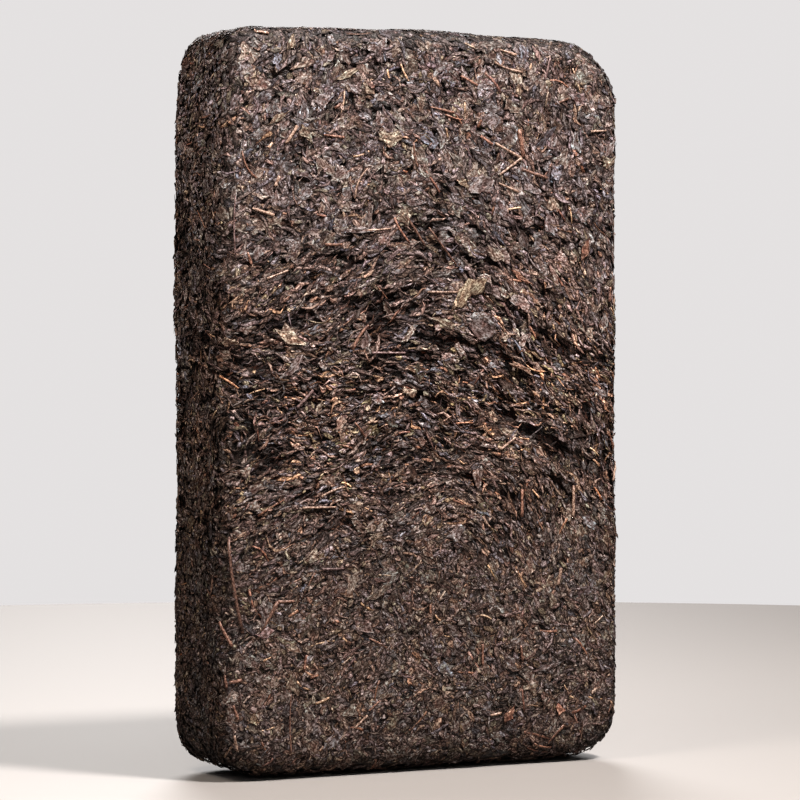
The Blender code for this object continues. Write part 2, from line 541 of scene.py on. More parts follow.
def stems(rng, lengths, widths, bends, rings=4):
    """Bits of leaf stalk: round, a little bent, thicker at one end, with cut ends."""
    count = len(lengths)
    shape = np.zeros((count, rings * STEM_SIDES, 3))
    flat = np.zeros((rings * STEM_SIDES, 2))
    thin = between(rng, 0.55, 1.0, count)
    start = between(rng, 0, 2 * math.pi, count)
    for ring in range(rings):
        share = ring / (rings - 1) - 0.5
        x = lengths * share
        y = lengths * bends * (1 - 4 * share * share) / 2
        lift = rng.normal(0, 0.12, count) * widths
        radius = widths / 2 * (thin + (1 - thin) * (0.5 - share)) * between(rng, 0.85, 1.15, count)
        for k in range(STEM_SIDES):
            turn = start + 2 * math.pi * k / STEM_SIDES
            index = ring * STEM_SIDES + k
            shape[:, index, 0] = x + rng.normal(0, 0.08, count) * widths
            shape[:, index, 1] = y + radius * np.cos(turn)
            shape[:, index, 2] = lift + radius * np.sin(turn) * 0.8
            flat[index] = (2 * share, 2 * k / (STEM_SIDES - 1) - 1)
    return Form(shape, stem_faces(rings), flat, smooth=True)


# Squares along and across a broad leaf, and how far its rim is bent down, in mm.
LEAF_LONG = 8
LEAF_WIDE = 5
RIM_DROP = 0.18


def closer_at_rim(steps):
    """Places from -1 to 1 that lie closer together at both ends."""
    return np.sin(np.linspace(-math.pi / 2, math.pi / 2, steps + 1))


def torn_outline(rng, lengths, widths, u, v, inside):
    """Points of broad leaf in mm: lopsided, with bites and tears at the rim."""
    count, shape = len(lengths), (len(lengths), len(u))
    narrower = between(rng, -0.45, 0.45, (count, 1))
    x = u * np.sqrt(1 - 0.45 * v ** 2)
    y = v * (np.sqrt(1 - 0.85 * u ** 4) * (1 - narrower * u))
    bite = between(rng, 0, 2 * math.pi, (count, 3))
    x = x * (1 + 0.28 * np.sin(2.3 * v + bite[:, :1]))
    y = y * (1 + 0.30 * np.sin(2.9 * u + bite[:, 1:2])) + 0.35 * np.sin(1.6 * u + bite[:, 2:])
    tear = between(rng, 0.78, 1.1, shape)
    tear[:, inside] = 1.0
    x = x * tear * (lengths[:, None] / 2) + rng.normal(0, 0.05, shape)
    y = y * tear * (widths[:, None] / 2) + rng.normal(0, 0.05, shape)
    return x, y


def crumpled(rng, x, y, lifts):
    """Heights of creased and crumpled leaf at points in mm."""
    count = len(x)
    phase = between(rng, 0, 2 * math.pi, (count, 4))
    turn = rng.normal(0, 0.5, (count, 1))
    spacing = between(rng, 1.3, 2.4, (count, 1))
    wander = 0.9 * np.sin(1.1 * x + phase[:, :1]) + 0.5 * np.sin(1.9 * y + phase[:, 1:2])
    crease = np.abs(np.sin(math.pi * (y + turn * x) / spacing + wander + phase[:, 2:3]))
    swell = np.sin(0.9 * x + 1.2 * y + phase[:, 3:])
    z = lifts[:, None] * (crease + 0.35 * swell + rng.normal(0, 0.42, x.shape))
    return z - z.mean(1, keepdims=True)


def leaves(rng, lengths, widths, lifts):
    """Broad crumpled leaf with a torn rim: painted light and shade on the creases and at the rim.
    """
    u, v = np.meshgrid(closer_at_rim(LEAF_LONG), closer_at_rim(LEAF_WIDE), indexing="ij")
    u, v = u.ravel(), v.ravel()
    reach = np.maximum(np.abs(u), np.abs(v))
    edge = reach > 0.99
    beside = (reach > 0.75) & ~edge
    x, y = torn_outline(rng, lengths, widths, u, v, reach <= 0.75)
    z = crumpled(rng, x, y, lifts)
    # Painted light: high points lighter, a painted highlight inside the rim and a painted shadow on
    # its edge.
    light = np.clip(0.9 + 0.5 * z / lifts[:, None], 0.3, 1.6) * between(rng, 0.75, 1.25, x.shape)
    light[:, beside] *= 1.35
    light[:, edge] *= 0.35
    z[:, edge] -= RIM_DROP
    places = np.stack([x, y, z], axis=2)
    faces = grid_faces(LEAF_LONG, LEAF_WIDE)
    return Form(places, faces, np.column_stack([u, v]), light, 0.99)


CRUMB_POINTS = [(1, 0, 0), (0, 1, 0), (-1, 0, 0), (0, -1, 0), (0, 0, 1), (0, 0, -1)]


def crumbs(rng, sizes):
    """Angular crumbs of broken leaf."""
    count = len(sizes)
    shape = np.tile(np.array(CRUMB_POINTS, float), (count, 1, 1))
    shape *= between(rng, 0.5, 1.2, (count, 6, 1)) * sizes[:, None, None] / 2
    shape += rng.normal(0, 0.1, (count, 6, 3)) * sizes[:, None, None]
    faces = []
    for k in range(4):
        faces += [(k, (k + 1) % 4, 4), ((k + 1) % 4, k, 5)]
    return Form(shape, faces, np.array(CRUMB_POINTS, float)[:, :2])


# ---- laying pieces on the brick

# Which share of what stands above its cap is left.
OVER_CAP = 0.15

# The margin of a piece's square on the UV map, and how far apart the grain of pieces lies.
UV_MARGIN = 0.16
GRAIN_APART = 500


def lay(skin, limits, spots, angles, slopes, depths, shape, cap):
    """World places of pieces laid on the skin.

    shape is in millimetres, along, across and up. depths is how far each lies under the skin.
    What would stand higher than cap above the skin is pressed nearly flat, as in the mould.
    """
    cosine, sine = np.cos(angles)[:, None], np.sin(angles)[:, None]
    along = cosine * spots.right + sine * spots.rise
    across = np.cross(spots.outwards, along)
    offset = shape[:, :, :1] * along[:, None] + shape[:, :, 1:2] * across[:, None]
    ground, way = skin.nearest(spots.places[:, None] + offset * MM)
    height = shape[:, :, 2] - depths[:, None]
    height = height + (shape[:, :, :2] * slopes[:, None]).sum(2)
    cap = np.broadcast_to(cap, len(depths))[:, None]
    height = np.where(height > cap, cap + OVER_CAP * (height - cap), height)
    result = ground + way * height[:, :, None] * MM
    return np.clip(result, *limits), height


def mapped(flat, count):
    """Places on the UV map: each piece has a square of its own."""
    rows = math.ceil(math.sqrt(count))
    side = 1 / rows
    index = np.arange(count)
    corner = np.column_stack([index % rows, index // rows]) / rows
    within = UV_MARGIN + (1 - 2 * UV_MARGIN) * (flat / np.abs(flat).max() + 1) / 2
    return corner[:, None] + side * within[None]


def fill(mesh, name, kind, domain, field, values):
    """A new attribute of a mesh, with its values."""
    attribute = mesh.attributes.new(name, kind, domain)
    attribute.data.foreach_set(field, values.ravel().astype(np.float32))


def with_alpha(colours):
    return np.concatenate([colours, np.ones(colours.shape[:-1] + (1,))], axis=-1)


def linked(name, data):
    """An object with this data, in the scene."""
    thing = bpy.data.objects.new(name, data)
    bpy.context.scene.collection.objects.link(thing)
    return thing


def joined(name, form, places, tints, material):
    """One object that holds every piece of a kind."""
    count, per_piece = places.shape[:2]
    faces = np.array(form.faces)
    triangles = (faces + per_piece * np.arange(count)[:, None, None]).reshape(-1, 3)
    mesh = bpy.data.meshes.new(name)
    mesh.from_pydata(places.reshape(-1, 3), [], triangles)
    uv = mapped(form.flat, count).reshape(-1, 2)[triangles]
    layer = mesh.uv_layers.new(name="OFBake")
    layer.data.foreach_set("uv", uv.ravel().astype(np.float32))
    rng = np.random.default_rng(SEED)
    facets = 0.0 if form.smooth else FACET_TONE
    tints = tints[:, faces]
    tints = tints * np.exp(rng.normal(0, facets, tints.shape[:2]))[..., None, None]
    # Each corner's colour, with its painted light and shade.
    fill(mesh, "tint_and_painted_light", "FLOAT_COLOR", "CORNER", "color", with_alpha(tints))
    own = form.shape * (1, 1, 0) + rng.uniform(0, GRAIN_APART, (count, 1, 3))
    fill(mesh, "grain", "FLOAT_VECTOR", "POINT", "vector", own)
    fill(mesh, "inner", "FLOAT", "POINT", "value", np.tile(form.inner, count))
    if form.smooth:
        mesh.shade_smooth()
    mesh.materials.append(material)
    return linked(name, mesh)


# How much the facets of a piece differ in tone, where it isn't smooth.
FACET_TONE = 0.34

# How far the channels move when a piece is warmer or cooler than its palette's colour.
WARM_SPREAD = np.array([0.04, 0.0, -0.06])

# How light a piece may be, in steps of the spread above its palette's colour.
BRIGHTEST = 0.8


def tinted(rng, palette, count, spread, lively=1.0):
    """A colour for each piece: one of the palette's, a little lighter or darker.

    Where lively is low the colours lie closer together.
    """
    weights, colours = map(np.array, zip(*palette))
    chosen = colours[rng.choice(len(colours), count, p=weights / weights.sum())]
    middle = np.average(colours, axis=0, weights=weights)
    share = np.broadcast_to(lively, count)[:, None]
    chosen = middle * (chosen / middle) ** share
    light = np.minimum(rng.normal(0, 1, count), BRIGHTEST) * spread
    light = np.exp(light[:, None] * share)
    warm = rng.normal(0, 1, (count, 1)) * WARM_SPREAD + rng.normal(0, 0.02, (count, 3))
    return np.clip(chosen * light * np.exp(warm), 0.002, 0.9)


# ---- colours (linear)

DARK_LEAF = [
    (4, (0.042, 0.029, 0.024)), (3, (0.064, 0.047, 0.040)), (2, (0.026, 0.016, 0.012)),
    (3, (0.046, 0.040, 0.040)), (2, (0.070, 0.055, 0.035)), (1, (0.088, 0.050, 0.034)),
]
GREY_LEAF = [
    (4, (0.090, 0.066, 0.059)), (3, (0.122, 0.096, 0.088)), (3, (0.072, 0.063, 0.062)),
    (2, (0.104, 0.086, 0.056)), (1, (0.130, 0.074, 0.050)), (1, (0.150, 0.116, 0.086)),
]
BROWN_LEAF = [
    (5, (0.078, 0.055, 0.043)), (3, (0.112, 0.084, 0.068)), (2, (0.086, 0.071, 0.050)),
    (1, (0.110, 0.062, 0.042)), (1, (0.180, 0.138, 0.104)),
]
STRIP_LEAF = [
    (5, (0.056, 0.038, 0.032)), (3, (0.090, 0.065, 0.057)), (2, (0.112, 0.074, 0.056)),
    (2, (0.072, 0.062, 0.064)), (1, (0.155, 0.098, 0.063)),
]
BROAD_LEAF = [
    (5, (0.100, 0.075, 0.063)), (3, (0.122, 0.095, 0.079)), (2, (0.074, 0.062, 0.056)),
    (2, (0.112, 0.084, 0.066)), (1, (0.118, 0.095, 0.072)),
]
RED_STEM = [
    (4, (0.148, 0.075, 0.048)), (3, (0.120, 0.058, 0.038)), (1, (0.205, 0.114, 0.070)),
]
PALE_STEM = [
    (3, (0.260, 0.170, 0.105)), (2, (0.340, 0.245, 0.160)), (2, (0.200, 0.128, 0.080)),
]
CRUMB = [
    (5, (0.036, 0.023, 0.016)), (3, (0.100, 0.066, 0.042)), (0.6, (0.240, 0.140, 0.075)),
    (0.6, (0.300, 0.225, 0.140)),
]


# ---- materials

def feed(tree, node, inputs):
    """Set the inputs of a node to fixed values or to outputs of other nodes."""
    for name, value in inputs.items():
        if isinstance(value, bpy.types.NodeSocket):
            tree.links.new(value, node.inputs[name])
        else:
            node.inputs[name].default_value = value
    return node


def range_node(tree, *values):
    """A value moved to another range: value, old low and high, new low and high."""
    node = feed(tree, tree.nodes.new("ShaderNodeMapRange"), dict(enumerate(values)))
    return node.outputs["Result"]


def product(tree, first, second):
    """A vector or colour times another."""
    node = feed(tree, tree.nodes.new("ShaderNodeVectorMath"), {0: first, 1: second})
    node.operation = "MULTIPLY"
    return node.outputs["Vector"]


def attribute_node(tree, name, output):
    node = tree.nodes.new("ShaderNodeAttribute")
    node.attribute_name = name
    return node.outputs[output]


def mixed(tree, share, first, second):
    """A colour between two others, by a share from 0 to 1."""
    node = tree.nodes.new("ShaderNodeMix")
    node.data_type = "RGBA"
    colours = [socket for socket in node.inputs if socket.type == "RGBA"]
    colours[0].default_value = (*first, 1.0)
    colours[1].default_value = (*second, 1.0)
    tree.links.new(share, node.inputs["Factor"])
    return [socket for socket in node.outputs if socket.type == "RGBA"][0]


# Colour factors of painted shade in a piece's wrinkles and of painted highlight on the ridges
# between them: for small torn pieces, and for broad leaf, which is more even.
TORN_PAINTED_SHADING = ((0.36, 0.27, 0.23), (1.85, 1.82, 1.80))
EVEN_LEAF_PAINTED_SHADING = ((0.46, 0.35, 0.30), (1.44, 1.42, 1.40))

# Wrinkles are longer along a piece than across it, and on the core longer level than upright.
GRAIN = (0.6, 1.0, 1.0)
CORE_GRAIN = (0.5 / MM, 0.5 / MM, 1.0 / MM)

# Between these values of the noise, wrinkles turn to ridges, and dull leaf to less dull.
RIDGE = (0.45, 0.55)
DULL = (0.32, 0.68)

# Painted shadow along the torn rim of a piece, over this share of the way to its fold.
RIM = (0.08, 0.38)
RIM_PAINTED_SHADOW = (0.24, 0.19, 0.165)


def leaf_material(name, roughness, wrinkle, relief, tints, gloss=0.3, own_grain=True, rim=False):
    """Dry leaf: its own colour, with painted shade in its wrinkles, which run along it, and painted
    highlight on their ridges.

    wrinkle is how many wrinkles there are to a millimetre, and relief their depth in mm.
    """
    material = bpy.data.materials.new(name)
    material.use_nodes = True
    tree = material.node_tree
    if own_grain:
        place = product(tree, attribute_node(tree, "grain", "Vector"), GRAIN)
    else:
        coordinates = tree.nodes.new("ShaderNodeTexCoord").outputs["Object"]
        place = product(tree, coordinates, CORE_GRAIN)
    noise = {"Vector": place, "Scale": wrinkle, "Detail": 3.0, "Roughness": 0.6}
    folds = feed(tree, tree.nodes.new("ShaderNodeTexNoise"), noise).outputs["Fac"]
    ridge = range_node(tree, folds, *RIDGE, 0.0, 1.0)
    # Painted shade in the wrinkles and painted highlight on the ridges.
    colour = product(tree, attribute_node(tree, "tint_and_painted_light", "Color"), mixed(tree, ridge, *tints))
    # Painted shadow along the rim.
    if rim:
        edge = range_node(tree, attribute_node(tree, "inner", "Fac"), *RIM, 0.0, 1.0)
        colour = product(tree, colour, mixed(tree, edge, RIM_PAINTED_SHADOW, (1.0, 1.0, 1.0)))
    bump = {"Height": folds, "Distance": relief * MM}
    feed(tree, tree.nodes["Principled BSDF"], {
        "Base Color": colour,
        "Roughness": range_node(tree, folds, *DULL, roughness + 0.15, roughness - 0.1),
        "Specular IOR Level": gloss,
        "Normal": feed(tree, tree.nodes.new("ShaderNodeBump"), bump).outputs["Normal"],
    })
    return material


# ---- the core

# How far the core lies under the brick's surface in mm, how much less where the leaf is calm or
# pressed, how high its own relief is, and how large the swells of that relief are.
CORE_DEPTH = 1.3
CALM_RISE = 0.7
PRESSED_RISE = 0.25
CORE_RELIEF = 0.9
COARSE_SWELL, FINE_SWELL = 4.0, 2.0

# Painted shade on the core, which shows in the gaps between the leaf: how light it is beside the
# leaf on it, and where the leaf is calm.
CORE_PAINTED_SHADE = 0.26
CALM_PAINTED_SHADE = 0.30


def core(brick, mesh, material):
    """The body of the brick under the pieces of leaf, with relief of its own."""
    lie = brick.lie
    spots = Spots(brick.skin.places, brick.skin.outwards, brick.middle)
    coarse = Field(SEED + 60)(spots.mm, COARSE_SWELL)
    fine = Field(SEED + 61)(spots.mm, FINE_SWELL)
    calm = lie.calm(spots)
    depths = CORE_DEPTH - CALM_RISE * calm + lie.depth(spots)
    depths -= PRESSED_RISE * lie.pressed(spots)
    depths += lie.cracks(spots)
    depths += CORE_RELIEF * (coarse + 0.6 * fine - 0.8)
    places = np.clip(spots.places - spots.outwards * depths[:, None] * MM, *brick.limits)
    mesh.name = "tea_core"
    mesh.vertices.foreach_set("co", places.ravel().astype(np.float32))
    rng = np.random.default_rng(SEED)
    # Painted shade on the core, darker in the gaps than the leaf.
    shade = CORE_PAINTED_SHADE + (CALM_PAINTED_SHADE - CORE_PAINTED_SHADE) * calm[:, None]
    colours = tinted(rng, DARK_LEAF, len(places), 0.3) * shade
    fill(mesh, "tint_and_painted_light", "FLOAT_COLOR", "POINT", "color", with_alpha(colours))
    mesh.shade_flat()
    mesh.materials.clear()
    mesh.materials.append(material)
    mesh.update()
    return linked("tea_core", mesh)


# ---- the kinds of piece

# How large the pieces are low on the brick, in the band, near the top, and on the narrow sides.
SIZE_BY_HEIGHT = (1.10, 0.88, 1.2)
SIZE_ON_SIDES = 0.85

# How much of a piece's height is pressed out of it: high on the broad faces, on the narrow sides,
# on the top end, and where the leaf is calm.
PRESSED = 0.42
PRESSED_SIDES = 0.4
PRESSED_TOP = 0.2
PRESSED_CALM = 0.55

# How much the caps of pieces differ in mm, and how much more on the edges of the brick.
PROUD = 0.15
RIM_PROUD = 3.0

# How thickly pieces lie on the underside.
UNDERSIDE = 0.35

# Painted shade between the leaves, where they lie deep, darker and redder: depths in mm at which a
# piece is darkest and no longer darkened, and the colour factors there. Half of a flaked layer's
# depth is open.
PAINTED_SHADE_DARKEST_DEPTH = 1.05
PAINTED_SHADE_END_DEPTH = 0.12
PAINTED_SHADE_DARKEST = np.array([0.10, 0.05, 0.035])
SEEN_HOLLOW = 0.5

# How strongly each channel follows a point's painted light and shade, so that painted shade is
# redder.
REDDER = np.array([0.82, 1.15, 1.22])

# How much of a flaked layer's depth lowers the caps there.
CAP_SINKS = 0.8


class Brick:
    """What every kind of piece is laid on."""

    def __init__(self, skin, limits):
        self.skin = skin
        self.limits = limits
        self.middle = (limits[0] + limits[1]) / 2
        self.lie = Lie()
        ways = skin.outwards[skin.triangles].mean(1)
        self.weight = np.where(ways[:, 2] < -BROAD, UNDERSIDE, 1.0)
        self.on_side = np.abs(ways[:, 1]) < 0.6
        self.up = (skin.places[skin.triangles, 2].mean(1) - self.middle[2]) / MM

    def spread(self, kind, material):
        """Lay one kind of piece all over the brick."""
        count = kind.count
        rng = np.random.default_rng(SEED + kind.seed)
        form = kind.form(rng, *[drawn(rng, limits, count) for limits in kind.sizes])
        depths = between(rng, *kind.depths, count)
        weight = self.weight * np.interp(self.up, TONE_HEIGHTS, kind.where[:3])
        weight *= np.where(self.on_side, kind.where[3], 1.0)
        spots = Spots(*self.skin.scatter(rng, count, weight), self.middle)
        angles = self.lie.angles(rng, spots)
        rim, top = edges(spots.outwards)
        lively = 1 - PRESSED_CALM * self.lie.calm(spots)
        flat = 1 - PRESSED * self.lie.pressed(spots) - PRESSED_SIDES * spots.narrow
        flat -= PRESSED_TOP * top
        size = np.interp(spots.up, TONE_HEIGHTS, SIZE_BY_HEIGHT)
        size = np.where(spots.facing < 0.5, SIZE_ON_SIDES, size)
        form.shape = form.shape * np.column_stack([size, size, lively * flat])[:, None]
        slopes = rng.normal(0, kind.slope, (count, 2)) * (lively * flat * (1 + rim))[:, None]
        proud = (rng.exponential(PROUD, count) - PROUD) * (1 + RIM_PROUD * rim)
        tints = tinted(rng, kind.palette, count, kind.shade, lively * flat) * self.lie.tone(spots)
        return self.press(kind.name, form, spots, angles, slopes, depths * lively * flat,
                          kind.cap + proud, self.lie.depth(spots), self.lie.cracks(spots),
                          tints, material)

    def place(self, name, rng, form, rows, depth, cap, material):
        """Lay pieces of one kind at chosen spots.

        A row starts with mm across, mm up and turn in degrees, and ends with a colour.
        """
        across, up, turns = np.array([row[:3] for row in rows], float).T
        level = np.zeros(len(across))
        front = np.full(len(across), self.limits[0][1])
        beside = np.column_stack([self.middle[0] + across * MM, front, self.middle[2] + up * MM])
        spots = Spots(*self.skin.nearest(beside), self.middle)
        tints = np.array([row[-1] for row in rows]) * np.exp(rng.normal(0, 0.1, (len(rows), 1)))
        return self.press(name, form, spots, np.radians(turns), np.column_stack([level, level]),
                          level + depth, cap, level, level, tints, material)

    def press(self, name, form, spots, angles, slopes, depths, cap, hollow, crack, tints, material):
        """One object of pieces that lie on the brick, sunk where its surface has come away."""
        world, heights = lay(self.skin, self.limits, spots, angles, slopes, depths + hollow + crack,
                             form.shape, cap - hollow * CAP_SINKS - crack)
        # Painted shade by depth between the leaves, and then the form's own painted light and
        # shade.
        tints = tints[:, None] * painted_shade_by_depth(heights + SEEN_HOLLOW * hollow[:, None])
        if form.light is not None:
            tints = tints * np.power(form.light[..., None], REDDER)
        return joined(name, form, world, np.clip(tints, 0, 0.9), material)


def edges(outwards):
    """How much each place is on an edge of the brick, apart from the top's, and on its top."""
    top = smooth_step(outwards[:, 2] - np.abs(outwards[:, 0]), 0.0, 0.4)
    return smooth_step(np.abs(outwards).max(1), 0.97, 0.85) * (1 - top), top


def painted_shade_by_depth(heights):
    """Painted shade: colour factors at heights in mm, darker the deeper a point lies."""
    light = smooth_step(heights, -PAINTED_SHADE_DARKEST_DEPTH, -PAINTED_SHADE_END_DEPTH)[..., None]
    return PAINTED_SHADE_DARKEST + (1 - PAINTED_SHADE_DARKEST) * light


def drawn(rng, limits, count):
    """Sizes of pieces: (lowest, typical, highest), (lowest, highest) or (spread about 0,)."""
    if len(limits) == 3:
        return rng.triangular(*limits, count)
    if len(limits) == 2:
        return between(rng, *limits, count)
    return rng.normal(0, *limits, count)


# How thickly a kind lies low on the brick, in the band, near the top and on the narrow sides.
EVEN = (1.0, 1.0, 1.0, 1.0)
IN_LOW = (1.4, 0.9, 0.6, 2.0)
IN_BAND = (0.35, 1.7, 0.5, 0.4)
FLAT_LOW = (1.6, 0.8, 1.1, 2.0)
NEAR_TOP = (0.9, 0.6, 2.0, 0.6)

# The kinds of piece that lie all over the brick. sizes are what the form's function takes, in mm
# (for bends of stalks a share of their length), and depths how far a piece lies under the surface.
# slope is how much pieces tilt, shade how much they differ in tone, cap how high they may stand
# in mm, and look the name of their material.
Kind = collections.namedtuple(
    "Kind", "name seed count form sizes depths where slope palette shade cap look",
    defaults=(0.0, "torn_leaf"),
)
KINDS = [
    Kind("dark_leaf_flakes", 1, 17500, flakes, [(1.8, 3.2, 6.5), (0.9, 1.6, 3.0), (0.06, 0.26)],
         (0.15, 0.9), FLAT_LOW, 0.18, DARK_LEAF, 0.28),
    Kind("brown_leaf_flakes", 2, 17500, flakes, [(1.6, 2.9, 6.0), (0.8, 1.5, 2.8), (0.06, 0.26)],
         (0.1, 0.8), FLAT_LOW, 0.18, GREY_LEAF, 0.26),
    Kind("brown_leaf_ribbons", 3, 10000, ribbons, [(2.5, 5.0, 13.0), (0.5, 1.0, 2.2), (0.05, 0.25)],
         (0.0, 0.8), IN_BAND, 0.09, STRIP_LEAF, 0.35, 0.05),
    Kind("dark_leaf_ribbons", 10, 10000, ribbons, [(2.0, 4.5, 10.0), (0.5, 1.0, 2.2), (0.05, 0.25)],
         (0.05, 0.9), IN_BAND, 0.09, DARK_LEAF, 0.35, 0.05),
    Kind("small_shards", 8, 12000, shards, [(0.8, 1.7, 3.5), (0.4, 0.7, 1.4), (0.05, 0.22)],
         (0.05, 0.8), IN_LOW, 0.25, BROWN_LEAF, 0.35),
    Kind("broad_leaves", 4, 1900, leaves, [(2.5, 4.5, 9.0), (1.8, 2.8, 5.0), (0.05, 0.14)],
         (0.0, 0.35), NEAR_TOP, 0.04, BROAD_LEAF, 0.15, look="dry_leaf"),
    Kind("dark_leaves", 9, 900, leaves, [(3.5, 6.0, 11.0), (1.8, 2.9, 5.0), (0.12, 0.30)],
         (0.1, 0.7), FLAT_LOW, 0.07, DARK_LEAF, 0.25, look="dry_leaf"),
    Kind("red_stems", 5, 400, stems, [(2.0, 4.5, 12.0), (0.45, 0.7, 1.2), (0.10,)],
         (0.1, 0.7), EVEN, 0.03, RED_STEM, 0.3, 0.2, "dry_stem"),
    Kind("pale_stems", 6, 220, stems, [(1.5, 3.8, 9.0), (0.4, 0.65, 1.1), (0.10,)],
         (0.1, 0.7), EVEN, 0.03, PALE_STEM, 0.3, 0.2, "dry_stem"),
    Kind("leaf_crumbs", 7, 2000, crumbs, [(0.4, 0.8, 1.6)],
         (0.0, 0.9), EVEN, 0.0, CRUMB, 0.4, 0.1),
]


# ---- what stands out on the front

RUST = (0.136, 0.074, 0.054)
BROWN = (0.092, 0.052, 0.039)
TAN = (0.190, 0.132, 0.103)
CREAM = (0.190, 0.150, 0.120)
MAUVE = (0.104, 0.070, 0.068)
OLIVE = (0.120, 0.098, 0.078)
KHAKI = (0.148, 0.115, 0.085)
SLATE = (0.092, 0.076, 0.074)

# Stalks, to the nearest 5 mm: mm across and up from the middle of the face, turn in degrees,
# length, width, how far bent as a share of the length, and colour.
FRONT_STEMS = [
    (-60, 120, 170, 5, 1.1, 0, TAN), (30, 115, 165, 6, 1.1, 0, TAN),
    (30, 110, 165, 11, 0.9, 0.1, TAN), (45, 110, 75, 8, 1.0, 0, MAUVE),
    (15, 105, 155, 7, 0.9, 0, RUST), (45, 100, 80, 5, 0.8, 0.1, CREAM),
    (5, 95, 170, 9, 0.9, 0, RUST), (65, 90, 5, 6, 0.9, 0, TAN),
    (-50, 85, 55, 7, 1.2, 0, TAN), (-35, 85, 175, 7, 0.9, 0, RUST),
    (-5, 80, 100, 8, 0.9, 0.1, BROWN), (35, 85, 100, 9, 1.4, 0, RUST),
    (40, 75, 165, 10, 1.3, 0, BROWN), (-65, 75, 120, 10, 0.8, 0.25, RUST),
    (-55, 70, 65, 4, 1.4, 0, TAN), (-25, 70, 65, 11, 0.8, 0.2, TAN),
    (30, 70, 160, 8, 1.0, 0, TAN), (-60, 60, 165, 8, 1.1, 0, TAN),
    (-20, 55, 5, 12, 0.9, 0, TAN), (-10, 55, 125, 10, 0.8, 0.1, RUST),
    (-5, 55, 125, 12, 0.9, 0, BROWN), (-70, 55, 90, 20, 0.6, 0.05, MAUVE),
    (5, 50, 130, 16, 0.8, 0, BROWN), (-65, 45, 110, 4, 1.0, 0, RUST),
    (-55, 40, 20, 8, 0.8, 0, TAN), (5, 35, 0, 11, 0.8, 0, TAN),
    (70, 35, 85, 5, 0.9, 0, RUST), (-25, 20, 55, 10, 1.3, 0.1, RUST),
    (-15, 15, 0, 12, 0.9, 0, MAUVE), (-45, 0, 45, 8, 1.1, 0, MAUVE),
    (-25, -10, 130, 6, 0.8, 0, RUST), (30, -15, 35, 7, 1.0, 0, TAN),
    (75, -25, 65, 7, 1.2, 0, TAN), (-35, -30, 20, 9, 0.9, 0.1, TAN),
    (-40, -35, 0, 12, 0.9, 0, TAN), (35, -35, 90, 9, 1.2, 0, RUST),
    (55, -35, 90, 11, 1.2, 0, TAN), (-35, -55, 0, 8, 0.9, 0, MAUVE),
    (-70, -60, 100, 30, 1.3, 0.05, BROWN), (50, -60, 80, 6, 1.4, 0, TAN),
    (5, -65, 55, 4, 0.7, 0, CREAM), (65, -75, 40, 4, 0.8, 0, CREAM),
    (-75, -75, 120, 9, 1.2, 0, RUST), (-30, -85, 35, 4, 0.8, 0, CREAM),
    (-45, -85, 80, 5, 1.0, 0, RUST), (-75, -90, 100, 4, 1.2, 0, RUST),
    (-70, -90, 10, 4, 1.2, 0, RUST), (20, -85, 90, 7, 0.9, 0, RUST),
    (35, -85, 95, 5, 1.0, 0, RUST), (-70, -100, 110, 5, 1.1, 0, RUST),
    (-20, -100, 40, 5, 0.8, 0, RUST), (-25, -105, 40, 6, 0.9, 0, TAN),
    (-50, -105, 90, 20, 0.7, 0.05, BROWN), (25, -105, 10, 4, 1.1, 0, TAN),
    (-70, -110, 100, 5, 1.0, 0, TAN),
]

# Stalks that fork or bend: mm across and up of the fork, width, colour, and the turn and
# length of each arm.
FRONT_FORKS = [
    (35, 80, 1.1, TAN, [(155, 11), (215, 10)]),
    (-55, -65, 1.2, BROWN, [(240, 11), (0, 6)]),
]

# Leaves, to the nearest 5 mm: mm across and up, turn in degrees, length, width and colour.
FRONT_LEAVES = [
    (-50, 115, 60, 6, 3, OLIVE), (-30, 105, 20, 10, 2, OLIVE),
    (-55, 90, 35, 9, 2, OLIVE), (-45, 85, 120, 7, 3, OLIVE),
    (-15, 85, 150, 9, 5, OLIVE), (70, 85, 50, 8, 3, SLATE),
    (70, 80, 5, 8, 4, OLIVE), (20, 70, 20, 10, 6, SLATE),
    (-25, 55, 5, 11, 2, SLATE), (60, 50, 60, 8, 3, BROWN),
    (35, 40, 155, 9, 2, RUST), (15, 35, 40, 14, 7, KHAKI),
    (20, 25, 165, 13, 7, SLATE), (5, 25, 160, 11, 2, OLIVE),
    (-50, 20, 150, 10, 4, CREAM), (35, 10, 155, 10, 2, TAN),
    (-50, 10, 40, 11, 3, SLATE), (10, -45, 0, 6, 5, SLATE),
    (-60, -75, 0, 6, 3, MAUVE), (45, -90, 15, 10, 2, SLATE),
    (30, -105, 60, 6, 3, RUST), (50, -105, 0, 4, 3, RUST),
]


def fork_arms():
    """Every arm of the forked stalks, as a straight stalk of its own."""
    arms = []
    for across, up, width, colour, ways in FRONT_FORKS:
        for turn, length in ways:
            right = across + length / 2 * math.cos(math.radians(turn))
            high = up + length / 2 * math.sin(math.radians(turn))
            arms.append((right, high, turn, length, width, 0.0, colour))
    return arms


def front_stems(brick, material):
    rng = np.random.default_rng(SEED + 11)
    rows = FRONT_STEMS + fork_arms()
    lengths, widths, bends = np.array([row[3:6] for row in rows], float).T
    form = stems(rng, lengths, widths, bends, rings=7)
    return brick.place("front_stems", rng, form, rows, 0.05, 0.45, material)


def front_leaves(brick, material):
    rng = np.random.default_rng(SEED + 12)
    lengths, widths = np.array([row[3:5] for row in FRONT_LEAVES], float).T
    form = leaves(rng, lengths, widths, np.full(len(lengths), 0.15))
    return brick.place("front_leaves", rng, form, FRONT_LEAVES, -0.25, 0.5, material)


# ---- floor, light and camera

